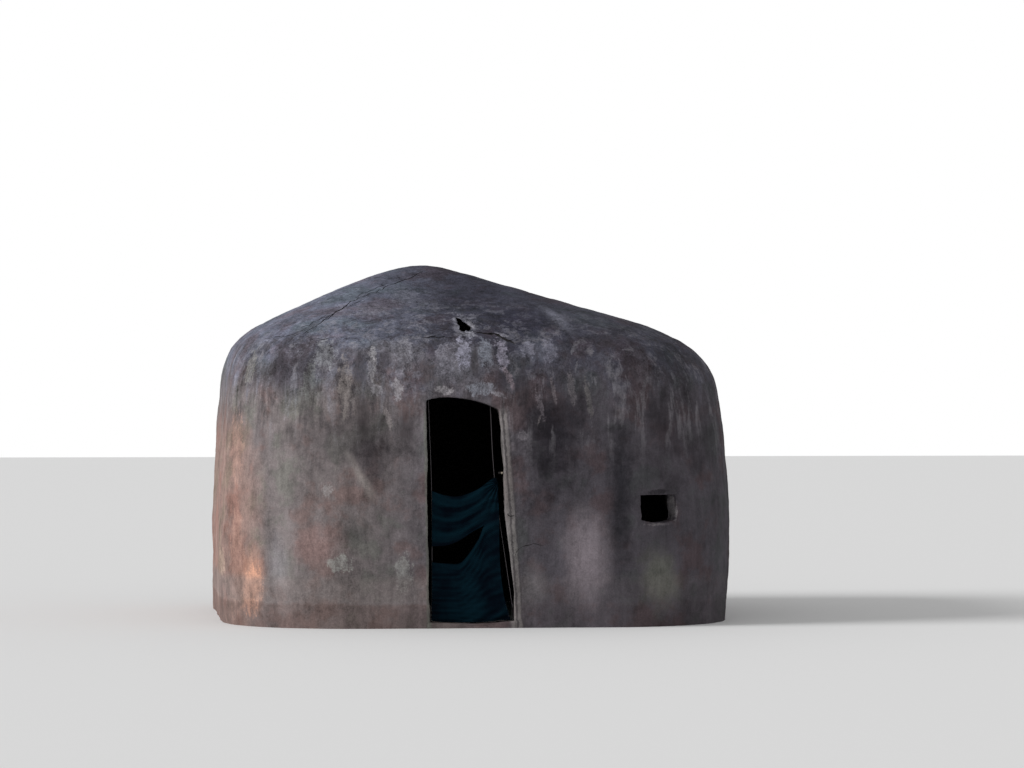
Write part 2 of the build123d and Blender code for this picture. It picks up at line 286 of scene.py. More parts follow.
def fineSkin(name, place):
    margin = place["margin"]
    wide = box(
        name + "Wide", place["centre"], [side + 2 * margin for side in place["size"]],
        place["low"] - margin, place["high"] + margin, place["bearing"],
    )
    wide.data.update()
    corners = [wide.data.vertices[i].co for i in range(len(wide.data.vertices))]
    low = [min(corner[i] for corner in corners) for i in range(3)]
    high = [max(corner[i] for corner in corners) for i in range(3)]
    parts = []
    for nodeName in clayNodes:
        if overlaps(nodeName, low, high):
            part = copyOf(frame["nodes"][nodeName], nodeName + "Part")
            mergeDoubles(part)
            combine(part, wide, "INTERSECT")
            if len(part.data.polygons):
                parts.append(part)
            else:
                bpy.data.objects.remove(part)
    bpy.data.objects.remove(wide)
    skin = skinOf(parts, name, place["grain"], place["rounding"])
    crumble(skin, place)
    return skin


fineSkins = {}
for name, place in surrounds.items():
    fineSkins[name] = fineSkin(name, place)
    print(name, "made:", len(fineSkins[name].data.polygons), "faces")

# Cracks in the clay: thin ragged tubes along the skin, cut out of it. Their routes are given across and
# up on a plane at the front of the hut, and are carried on from the eye to the skin behind. The roof is
# seen at a low angle, so cracks that run across it are the wider ones
crackShape = {
    "step": 0.022, "wander": 0.006, "tip": 0.3, "tipSteps": 4, "swell": (0.5, 1.4), "merge": 0.00002,
}
cracks = {
    "hipLeft": {"wide": 0.004, "route": (
        (-0.41, 2.348), (-0.6, 2.262), (-0.911, 2.138), (-0.997, 2.072), (-1.103, 2.000),
        (-1.222, 1.928), (-1.465, 1.895),
    )},
    "holeRight": {"wide": 0.015, "route": (
        (-0.085, 1.94), (-0.01, 1.934), (0.055, 1.922), (0.1, 1.898), (0.165, 1.866),
    )},
    "holeLeft": {"wide": 0.007, "route": ((-0.35, 1.972), (-0.3, 1.962), (-0.225, 1.958))},
    "hipSplit": {"wide": 0.0058, "route": ((-0.88, 2.15), (-0.985, 2.082), (-1.1, 2.000))},
    "spanLeft": {"wide": 0.0055, "route": ((-1.129, 1.902), (-1.08, 1.896), (-1.03, 1.902))},
    "overDoor": {"wide": 0.006, "route": (
        (-0.455, 1.908), (-0.38, 1.904), (-0.3, 1.908), (-0.225, 1.902),
    )},
    "rightOfDoor": {"wide": 0.0024, "route": (
        (0.172, 0.44), (0.186, 0.505), (0.215, 0.536), (0.29, 0.548), (0.36, 0.54),
    )},
    "jambBreak": {"wide": 0.006, "route": ((0.118, 0.748), (0.14, 0.738), (0.168, 0.738))},
    "hipEdge": {"wide": 0.0036, "route": ((-0.64, 2.262), (-0.8, 2.205), (-0.88, 2.16))},
    "hipMiddle": {"wide": 0.0036, "route": ((-0.82, 2.16), (-0.93, 2.098), (-1.04, 2.066))},
    "hipLow": {"wide": 0.0036, "route": ((-1.06, 2.052), (-1.18, 1.985), (-1.3, 1.955))},
    "holeLow": {"wide": 0.006, "route": ((-0.21, 1.93), (-0.175, 1.926), (-0.13, 1.932))},
}
eye = bpy.context.scene.camera.location.copy()
frontPlane = -1.70
wholeSkin = copyOf(hutSkin, "wholeSkin")


def onSkin(across, up):
    ray = (Vector((across, frontPlane, up)) - eye).normalized()
    return wholeSkin.ray_cast(eye, ray)[1]


def crackTube(name, wide, route):
    rough = random.Random(name)
    points = []
    for start, end in zip(route, route[1:]):
        start, end = Vector(start), Vector(end)
        steps = max(2, int((end - start).length / crackShape["step"]))
        for i in range(steps):
            astray = Vector((rough.uniform(-1, 1), rough.uniform(-1, 1)))
            points.append(start.lerp(end, i / steps) + astray * crackShape["wander"])
    points.append(Vector(route[-1]))
    bpy.ops.curve.primitive_bezier_curve_add(location=(0, 0, 0))
    tube = bpy.context.object
    tube.name = name
    line = tube.data
    line.dimensions = "3D"
    line.splines.clear()
    spline = line.splines.new("POLY")
    spline.points.add(len(points) - 1)
    for i, (point, spot) in enumerate(zip(spline.points, points)):
        taper = min(1, crackShape["tip"] + min(i, len(points) - 1 - i) / crackShape["tipSteps"])
        point.co = (*onSkin(spot.x, spot.y), 1)
        point.radius = taper * rough.uniform(*crackShape["swell"])
    line.bevel_depth = wide
    line.bevel_resolution = 1
    line.use_fill_caps = True
    bpy.ops.object.convert(target="MESH")
    mergeDoubles(tube, crackShape["merge"])
    return tube


# Broken edges, cut straight along the line of sight behind outlines on the same plane
brokenEdges = {
    "roofBreak": {
        "skin": "holeSurround", "from": -1.6, "to": -0.85,
        "outline": (
            (-0.222, 2.038), (-0.199, 2.03), (-0.182, 2.022), (-0.173, 2.005), (-0.153, 2.000),
            (-0.143, 1.98), (-0.126, 1.974), (-0.119, 1.959), (-0.134, 1.946), (-0.152, 1.953),
            (-0.164, 1.941), (-0.186, 1.949), (-0.197, 1.957), (-0.193, 1.979), (-0.21, 1.993),
            (-0.207, 2.016),
        ),
    },
    "doorBreak": {
        "skin": "doorSurround", "from": -1.85, "to": -1.45,
        "outline": (
            (0.045, 1.436), (0.064, 1.397), (0.079, 1.298), (0.077, 1.226), (0.083, 1.154),
            (0.097, 1.049), (0.093, 0.977), (0.097, 0.892), (0.098, 0.787), (0.105, 0.728),
            (0.112, 0.675), (0.124, 0.577), (0.138, 0.479), (0.145, 0.407), (0.157, 0.315),
            (0.166, 0.236), (0.164, 0.157), (0.166, 0.039), (0.071, 0.039), (0.031, 0.839),
            (0.005, 1.416),
        ),
    },
    "windowBreak": {
        "skin": "windowSurround", "from": -1.85, "to": -1.4,
        "outline": (
            (1.001, 0.868), (1.073, 0.871), (1.159, 0.868), (1.168, 0.816), (1.185, 0.765),
            (1.185, 0.721), (1.163, 0.704), (1.102, 0.694), (1.022, 0.7), (1.01, 0.728),
        ),
    },
}


def sightBlock(name, outline, near, deep):
    rays = [Vector((across, frontPlane, up)) - eye for across, up in outline]
    ends = [[eye + ray * ((plane - eye.y) / ray.y) for ray in rays] for plane in (near, deep)]
    return block(name, *ends)


for name, edge in brokenEdges.items():
    cutter = sightBlock(name, edge["outline"], edge["from"], edge["to"])
    combine(fineSkins[edge["skin"]], cutter, "DIFFERENCE")
    bpy.data.objects.remove(cutter)
print("broken edges cut:", len(brokenEdges))

pick(*[crackTube(name, **crack) for name, crack in cracks.items()])
bpy.ops.object.join()
crackLines = bpy.context.object
for skin in [hutSkin, *fineSkins.values()]:
    combine(skin, crackLines, "DIFFERENCE")
crackSurface = BVHTree.FromPolygons(
    [vert.co for vert in crackLines.data.vertices], [face.vertices for face in crackLines.data.polygons]
)
print("cracks cut:", len(cracks))

for name, place in surrounds.items():
    exact = box(name + "Box", place["centre"], place["size"], place["low"], place["high"], place["bearing"])
    combine(fineSkins[name], exact, "INTERSECT")
    combine(hutSkin, exact, "DIFFERENCE")
    bpy.data.objects.remove(exact)
print("surrounds let into the skin")

# The skin is parted into four walls and four roof slopes
far, top = 4, 3  # beyond the walls, above the peak
diagonal = 0.707
bend = {"x": 0.808, "y": 0.80}  # middles of the rounded corners
windowBend = math.radians(58)
corner = {
    "frontLeft": Vector((-bend["x"], -bend["y"])),
    "frontRight": Vector((bend["x"], -bend["y"])),
    "backRight": Vector((bend["x"], bend["y"])),
    "backLeft": Vector((-bend["x"], bend["y"])),
}
away = {
    "frontLeft": Vector((-diagonal, -diagonal)),
    "frontRight": Vector((math.sin(windowBend), -math.cos(windowBend))),
    "backRight": Vector((diagonal, diagonal)),
    "backLeft": Vector((-diagonal, diagonal)),
}
peak = Vector((-0.322, 0))
wallJoint = 1.52
shellPieces = {
    "wallFront": {
        "ends": ("frontLeft", "frontRight"), "slot": "wall_clay",
        "nodes": (
            "front_wall_left", "front_wall_right", "front_left_corner_front", "front_right_corner_front",
        ),
    },
    "wallRight": {
        "ends": ("frontRight", "backRight"), "slot": "wall_clay",
        "nodes": ("right_wall", "front_right_corner_side", "back_right_corner_side"),
    },
    "wallBack": {
        "ends": ("backRight", "backLeft"), "slot": "wall_clay",
        "nodes": ("back_wall", "back_right_corner_back", "back_left_corner_back"),
    },
    "wallLeft": {
        "ends": ("backLeft", "frontLeft"), "slot": "wall_clay",
        "nodes": ("left_wall", "front_left_corner_side", "back_left_corner_side"),
    },
    "roofFront": {
        "ends": ("frontLeft", "frontRight"), "slot": "roof_clay",
        "nodes": (
            "roof_front", "hip_front_left", "hip_front_right", "door_head",
            "shoulder_front_left", "shoulder_front_right", "roof_crown",
        ),
    },
    "roofRight": {
        "ends": ("frontRight", "backRight"), "slot": "roof_clay",
        "nodes": ("roof_right", "shoulder_right", "shoulder_back_right"),
    },
    "roofBack": {
        "ends": ("backRight", "backLeft"), "slot": "roof_clay",
        "nodes": ("roof_back", "hip_back_left", "hip_back_right", "shoulder_back"),
    },
    "roofLeft": {
        "ends": ("backLeft", "frontLeft"), "slot": "roof_clay",
        "nodes": ("roof_left", "shoulder_left", "shoulder_back_left"),
    },
}


def partOfShell(name, piece):
    first, last = piece["ends"]
    outer = [corner[first] + far * away[first], corner[last] + far * away[last]]
    if name.startswith("wall"):
        cutter = prism(name + "Zone", [corner[first], *outer, corner[last]], 0, wallJoint)
    else:
        cutter = prism(name + "Zone", [peak, *outer], wallJoint, top)
    part = copyOf(hutSkin, name)
    combine(part, cutter, "INTERSECT")
    bpy.data.objects.remove(cutter)
    return part


clayPieces = {}
for name, piece in shellPieces.items():
    clayPieces[name] = partOfShell(name, piece)
    print(name, "made:", len(clayPieces[name].data.polygons), "faces")
bpy.data.objects.remove(hutSkin)
clayPieces.update(fineSkins)


# Sill of the doorway
sill = {"grain": 0.006, "rounding": 5, "keyed": 1.05, "middle": -0.114, "ground": (6, 6)}
sillCopy = copyOf(frame["nodes"]["door_sill"], "sillCopy")
chooseVerts(sillCopy, lambda place: True)
bpy.ops.transform.resize(value=(sill["keyed"], 1, 1), center_override=(sill["middle"], 0, 0))
bpy.ops.object.mode_set(mode="OBJECT")
doorSill = skinOf([sillCopy], "doorSill", sill["grain"], sill["rounding"])
ground = box("groundBox", (0, 0), sill["ground"], 0, top)
combine(doorSill, ground, "INTERSECT")
bpy.data.objects.remove(ground)
clayPieces["doorSill"] = doorSill
print("sill made")


# Net curtain: one cloth, parted along a slit that gapes into a horn at its left edge
curtain = {
    "columns": 120, "rows": 170, "slitRow": 96, "slitEnd": 0.80, "depth": -1.610, "backmost": -1.6015,
    "top": (
        (-0.367, 0.897), (-0.280, 0.868), (-0.186, 0.863), (-0.070, 0.905), (0.041, 0.982), (0.068, 0.949),
    ),
    "gapUpper": (
        (-0.367, 0.534), (-0.263, 0.541), (-0.175, 0.578), (-0.104, 0.626), (-0.018, 0.672), (0.076, 0.715),
    ),
    "gapLower": (
        (-0.367, 0.429), (-0.263, 0.420), (-0.170, 0.432), (-0.064, 0.574), (-0.018, 0.672), (0.076, 0.715),
    ),
    "hem": (
        (-0.367, 0.042), (-0.260, 0.036), (-0.150, 0.034), (-0.050, 0.036), (0.050, 0.043), (0.149, 0.052),
    ),
    "rightUpper": ((0.076, 0.715), (0.073, 0.80), (0.070, 0.87), (0.068, 0.949)),
    "rightLower": (
        (0.149, 0.052), (0.114, 0.179), (0.092, 0.31), (0.081, 0.442), (0.077, 0.60), (0.076, 0.715),
    ),
    "swags": 3.0, "swagDepth": 0.009, "roll": 0.011, "rollShare": 0.13, "ripple": 0.0022, "billow": 0.006,
    "gather": {"at": (0.055, 0.93), "reach": 0.22, "tie": (0.075, 0.96), "pleats": 26, "height": 0.006},
    "crease": {"at": (0.10, 0.10), "reach": 0.15, "across": (-0.6, 0.8), "wide": 0.022, "height": 0.010},
    "thickness": 0.0014, "flat": (0.50, 0.95), "slack": 1e-4, "sharp": 60,
}


def onLine(points, share):
    # a smooth line through points at even shares
    steps = len(points) - 1
    at = min(max(share, 0), 1) * steps
    i = min(int(at), steps - 1)
    t = at - i
    a, b, c, d = (Vector(points[min(max(i + k, 0), steps)]) for k in (-1, 0, 1, 2))
    squared = 2 * a - 5 * b + 4 * c - d
    cubed = 3 * b - a - 3 * c + d
    return 0.5 * ((2 * b) + (c - a) * t + squared * t * t + cubed * t ** 3)


def patch(low, high, right, across, up):
    # a point of the cloth between its lower, upper and right edges and its straight left one
    left, foot = low[0]
    leftSide = Vector((left, foot + (high[0][1] - foot) * up))
    ruled = onLine(low, across) * (1 - up) + onLine(high, across) * up
    sides = leftSide * (1 - across) + onLine(right, up) * across
    corners = (Vector(low[0]) * (1 - across) + Vector(low[-1]) * across) * (1 - up)
    corners += (Vector(high[0]) * (1 - across) + Vector(high[-1]) * across) * up
    return ruled + sides - corners


def wave(turns):
    return math.sin(2 * math.pi * turns)


def makeCurtain():
    bpy.ops.mesh.primitive_grid_add(x_subdivisions=curtain["columns"], y_subdivisions=curtain["rows"], size=1)
    cloth = bpy.context.object
    cloth.name = "netCurtain"
    slit = curtain["slitRow"] / curtain["rows"]
    mesh = cloth.data
    bpy.ops.object.mode_set(mode="EDIT")
    bpy.ops.mesh.select_mode(type="EDGE")
    bpy.ops.mesh.select_all(action="DESELECT")
    bpy.ops.object.mode_set(mode="OBJECT")
    slack = curtain["slack"]
    for edge in mesh.edges:
        ends = [mesh.vertices[i].co for i in edge.vertices]
        edge.select = all(
            abs(end.y + 0.5 - slit) < slack and end.x + 0.5 < curtain["slitEnd"] + slack for end in ends
        )
    bpy.ops.object.mode_set(mode="EDIT")
    bpy.ops.mesh.edge_split(type="EDGE")
    bpy.ops.object.mode_set(mode="OBJECT")
    above = set()
    for face in mesh.polygons:
        if face.center.y + 0.5 > slit:
            above.update(face.vertices)
    for vert in mesh.vertices:
        across, up = vert.co.x + 0.5, vert.co.y + 0.5
        if vert.index in above:
            up = min(max((up - slit) / (1 - slit), 0), 1)
            flat = patch(curtain["gapUpper"], curtain["top"], curtain["rightUpper"], across, up)
            # swags between the two cords, gathered to the tie at the right
            sway = wave(curtain["swags"] * up + 0.35 * math.sin(2.2 * across + 1) - 0.15)
            sway += 0.45 * wave(2.3 * curtain["swags"] * up + 1.1 * across)
            sag = curtain["swagDepth"] * (0.35 + 0.65 * math.sin(math.pi * min(1, 1.15 * across + 0.1)))
            depth = sag * sway * (0.4 + 0.6 * min(1, 6 * (1 - up)))
            gather = curtain["gather"]
            pull = max(0, 1 - (Vector(gather["at"]) - flat).length / gather["reach"])
            bearing = math.atan2(flat.y - gather["tie"][1], flat.x - gather["tie"][0])
            depth += gather["height"] * pull * math.sin(gather["pleats"] * bearing)
        else:
            up = min(max(up / slit, 0), 1)
            flat = patch(curtain["hem"], curtain["gapLower"], curtain["rightLower"], across, up)
            # a rolled upper edge over small ripples, and a crease at the lower right
            below = min(1, (1 - up) / curtain["rollShare"])
            rolled = -curtain["roll"] * math.sin(math.pi * below) * min(1, across * 2.2)
            ripples = wave(9 * up - 1.6 * across + 0.4 * math.sin(5 * across))
            ripples += 0.7 * wave(14 * up + 1.1 * across + 0.3 * math.sin(9 * across + 2))
            depth = rolled + curtain["ripple"] * ripples * below
            crease = curtain["crease"]
            aside = Vector(crease["at"]) - flat
            ridge = math.exp(-(aside.dot(Vector(crease["across"])) / crease["wide"]) ** 2)
            depth -= crease["height"] * ridge * max(0, 1 - aside.length / crease["reach"])
            depth += curtain["billow"] * wave(1.3 * across + 0.15) * (1 - up) ** 0.5
        vert.co = (flat.x, min(curtain["depth"] + depth, curtain["backmost"]), flat.y)
    finish(cloth, "SOLIDIFY", thickness=curtain["thickness"], offset=0)
    faceOut()
    bpy.ops.object.shade_smooth_by_angle(angle=math.radians(curtain["sharp"]))
    return cloth


netCurtain = makeCurtain()
print("curtain made:", len(netCurtain.data.polygons), "faces")


# Finishes
def tone(red, green, blue):
    # a colour as it looks on screen, 0 to 255, made linear
    shares = [part / 255 for part in (red, green, blue)]
    linear = [share / 12.92 if share < 0.04045 else ((share + 0.055) / 1.055) ** 2.4 for share in shares]
    return (*linear, 1.0)


class Wire:
    def __init__(self, shade, socket):
        self.shade = shade
        self.socket = socket

    def maths(self, operation, *values):
        return self.shade.node("ShaderNodeMath", {"operation": operation}, dict(enumerate(values)))

    def __add__(self, other):
        return self.maths("ADD", self, other)

    def __radd__(self, other):
        return self.maths("ADD", other, self)

    def __sub__(self, other):
        return self.maths("SUBTRACT", self, other)

    def __rsub__(self, other):
        return self.maths("SUBTRACT", other, self)

    def __mul__(self, other):
        return self.maths("MULTIPLY", self, other)

    def __rmul__(self, other):
        return self.maths("MULTIPLY", other, self)


class Shade:
    def __init__(self, name):
        self.material = bpy.data.materials.new(name)
        self.material.use_nodes = True
        self.tree = self.material.node_tree
        self.surface = self.tree.nodes["Principled BSDF"]
        self.place = self.node("ShaderNodeTexCoord", output="Object")

    def node(self, kind, settings=None, inputs=None, output=0):
        made = self.tree.nodes.new(kind)
        for name, value in (settings or {}).items():
            setattr(made, name, value)
        for name, value in (inputs or {}).items():
            if isinstance(value, Wire):
                self.tree.links.new(value.socket, made.inputs[name])
            else:
                made.inputs[name].default_value = value
        return Wire(self, made.outputs[output])

    def noise(self, scale, stretch=(1, 1, 1), detail=3.0, roughness=0.55, distortion=0.0, offset=(0, 0, 0)):
        place = self.node(
            "ShaderNodeMapping", None, {"Vector": self.place, "Scale": stretch, "Location": offset}
        )
        return self.node(
            "ShaderNodeTexNoise", {"noise_dimensions": "3D"},
            {
                "Vector": place, "Scale": scale, "Detail": detail, "Roughness": roughness,
                "Distortion": distortion,
            },
        )

    def between(self, value, low, high, start=0.0, end=1.0):
        return self.node(
            "ShaderNodeMapRange", {"interpolation_type": "SMOOTHSTEP", "clamp": True},
            {"Value": value, "From Min": low, "From Max": high, "To Min": start, "To Max": end},
        )

    def blend(self, share, first, second, how="MIX"):
        return self.node(
            "ShaderNodeMix", {"data_type": "RGBA", "blend_type": how, "clamp_factor": True},
            {0: share, 6: first, 7: second}, output=2,
        )

    def band(self, value, middle, half):
        # 1 within a half width of the middle value, softly down to 0 outside
        offset = value - middle
        return self.between(offset.maths("ABSOLUTE", offset), half * 1.3, half * 0.6)

    def spot(self, at, size, turn=0.0, ragged=None, raggedness=0.0, soft=0.5):
        # a stain in an ellipse round a place, 1 in its middle and 0 outside
        reach = 1.3
        local = self.node(
            "ShaderNodeMapping", {"vector_type": "TEXTURE"},
            {"Vector": self.place, "Location": at, "Rotation": (0, math.radians(turn), 0),
             "Scale": [side * reach for side in size]},
        )
        ball = self.node(
            "ShaderNodeTexGradient", {"gradient_type": "SPHERICAL"}, {"Vector": local}, output="Fac"
        )
        distance = reach - ball * reach
        if ragged is not None:
            distance = distance + (ragged - 0.5) * raggedness
        return self.between(distance, 1.0, 1.0 - soft)

    def finish(self, colour, roughness, bump=None, strength=0.5, distance=0.01):
        self.tree.links.new(colour.socket, self.surface.inputs["Base Color"])
        if isinstance(roughness, Wire):
            self.tree.links.new(roughness.socket, self.surface.inputs["Roughness"])
        else:
            self.surface.inputs["Roughness"].default_value = roughness
        if bump is not None:
            relief = {"Height": bump, "Strength": strength, "Distance": distance}
            normal = self.node("ShaderNodeBump", None, relief, output="Normal")
            self.tree.links.new(normal.socket, self.surface.inputs["Normal"])
        return self.material


# edge is painted warm sunlight; the tones from left to right on walls and roof fall as painted light and
# shade, on the right together with damp clay
clayLook = {
    "edge": tone(142, 119, 112), "left": tone(120, 112, 112), "middle": tone(100, 95, 100),
    "right": tone(78, 74, 80), "roofLeft": tone(103, 106, 122), "roofMiddle": tone(57, 57, 69),
    "roofRight": tone(64, 64, 75), "pink": tone(255, 237, 232), "green": tone(239, 249, 241),
    "peeled": tone(128, 127, 137), "bare": tone(58, 54, 59), "darkRun": tone(54, 50, 55),
    "paleRun": tone(132, 129, 134), "scratch": tone(138, 140, 152), "score": tone(56, 55, 62),
    "ledge": tone(128, 119, 117), "foot": tone(106, 90, 86), "specular": 0.15,
}
clayNoises = {
    "broad": {"scale": 1.6, "detail": 3, "offset": (3.1, 1.7, 0.4)},
    "hue": {"scale": 3.3, "detail": 4, "roughness": 0.6, "offset": (7, 2, 5)},
    "blotch": {"scale": 5, "detail": 6, "roughness": 0.68, "distortion": 0.3},
    "mottle": {"scale": 19, "detail": 6, "roughness": 0.72, "distortion": 0.15, "offset": (0, 5, 0)},
    "grain": {"scale": 95, "detail": 4, "roughness": 0.8},
    "runs": {"scale": 1, "stretch": (13, 13, 1.8), "detail": 5, "roughness": 0.65, "distortion": 0.35},
    "fineRuns": {"scale": 1, "stretch": (40, 40, 7), "detail": 4, "roughness": 0.65, "distortion": 0.6},
    "scratches": {"scale": 1, "stretch": (26, 9, 60), "detail": 5, "roughness": 0.7, "distortion": 1.6},
    "bands": {
        "scale": 1, "stretch": (6, 6, 0.8), "detail": 4, "roughness": 0.6, "distortion": 0.25,
        "offset": (2, 9, 1),
    },
    "peeling": {
        "scale": 8, "stretch": (1, 1, 0.8), "detail": 8, "roughness": 0.75, "distortion": 0.5,
        "offset": (4, 1, 8),
    },
}
# Stains, placed as the cracks are: across and up on the front plane, half width and half height, and
# degrees of turn
broadStains = [
    {"at": (-1.27, 1.72), "size": (0.42, 0.34), "tone": tone(58, 55, 61), "amount": 0.85},
    {"at": (-0.95, 1.22), "size": (0.52, 0.36), "tone": tone(78, 73, 75), "amount": 0.7},
    # painted warm sunlight: a patch of low sun at the foot of the left corner
    {"at": (-1.55, 0.3), "size": (0.12, 0.3), "turn": 4, "tone": tone(190, 146, 126), "amount": 0.8},
    {"at": (-0.78, 1.1), "size": (0.2, 0.24), "tone": tone(70, 64, 68), "amount": 0.75},
    {"at": (-0.845, 0.64), "size": (0.16, 0.19), "tone": tone(86, 84, 83), "amount": 0.8},
    {"at": (-1.13, 0.55), "size": (0.24, 0.2), "tone": tone(146, 122, 119), "amount": 0.8},
    {"at": (-1.38, 0.42), "size": (0.1, 0.28), "tone": tone(136, 132, 135), "amount": 0.7},
    # painted tree shade with damp clay, right of the door
    {"at": (0.42, 1.2), "size": (0.32, 0.48), "tone": tone(31, 27, 33), "amount": 0.9},
    {"at": (0.63, 0.46), "size": (0.22, 0.46), "tone": tone(136, 127, 133), "amount": 1.0},
    {"at": (0.3, 0.28), "size": (0.15, 0.2), "tone": tone(108, 104, 107), "amount": 0.85},
    {"at": (0.875, 0.92), "size": (0.11, 0.6), "tone": tone(44, 43, 49), "amount": 0.8},
    # painted tree shade with damp clay, round the window
    {"at": (1.25, 1.25), "size": (0.42, 0.44), "tone": tone(60, 55, 60), "amount": 0.7},
    {"at": (1.13, 0.32), "size": (0.2, 0.3), "tone": tone(112, 112, 106), "amount": 0.9},
    # painted shade on the roof right of the hole, and on the facet that turns away beside the hip ridge
    {"at": (-0.05, 2.12), "size": (0.3, 0.17), "tone": tone(48, 49, 62), "amount": 0.6},
    {"at": (0.2, 2.02), "size": (0.26, 0.14), "tone": tone(44, 44, 59), "amount": 0.8},
    {"at": (0.86, 1.93), "size": (0.3, 0.09), "turn": -12, "tone": tone(56, 55, 64), "amount": 0.5},
    {"at": (0.33, 1.81), "size": (0.2, 0.11), "tone": tone(104, 105, 118), "amount": 0.7},
    {"at": (-0.62, 1.8), "size": (0.34, 0.15), "tone": tone(122, 119, 126), "amount": 0.75},
    {"at": (-0.24, 1.74), "size": (0.34, 0.2), "tone": tone(116, 114, 123), "amount": 0.75},
    # painted shade high on the sunlit left
    {"at": (-1.52, 1.74), "size": (0.2, 0.26), "tone": tone(64, 60, 62), "amount": 0.7},
    # painted highlight along the hip ridge
    {"at": (0.45, 2.03), "size": (0.055, 0.19), "turn": -42, "tone": tone(116, 117, 130), "amount": 0.7},
    {"at": (-0.84, 0.99), "size": (0.05, 0.27), "turn": -31, "tone": tone(148, 141, 138), "amount": 0.8},
]
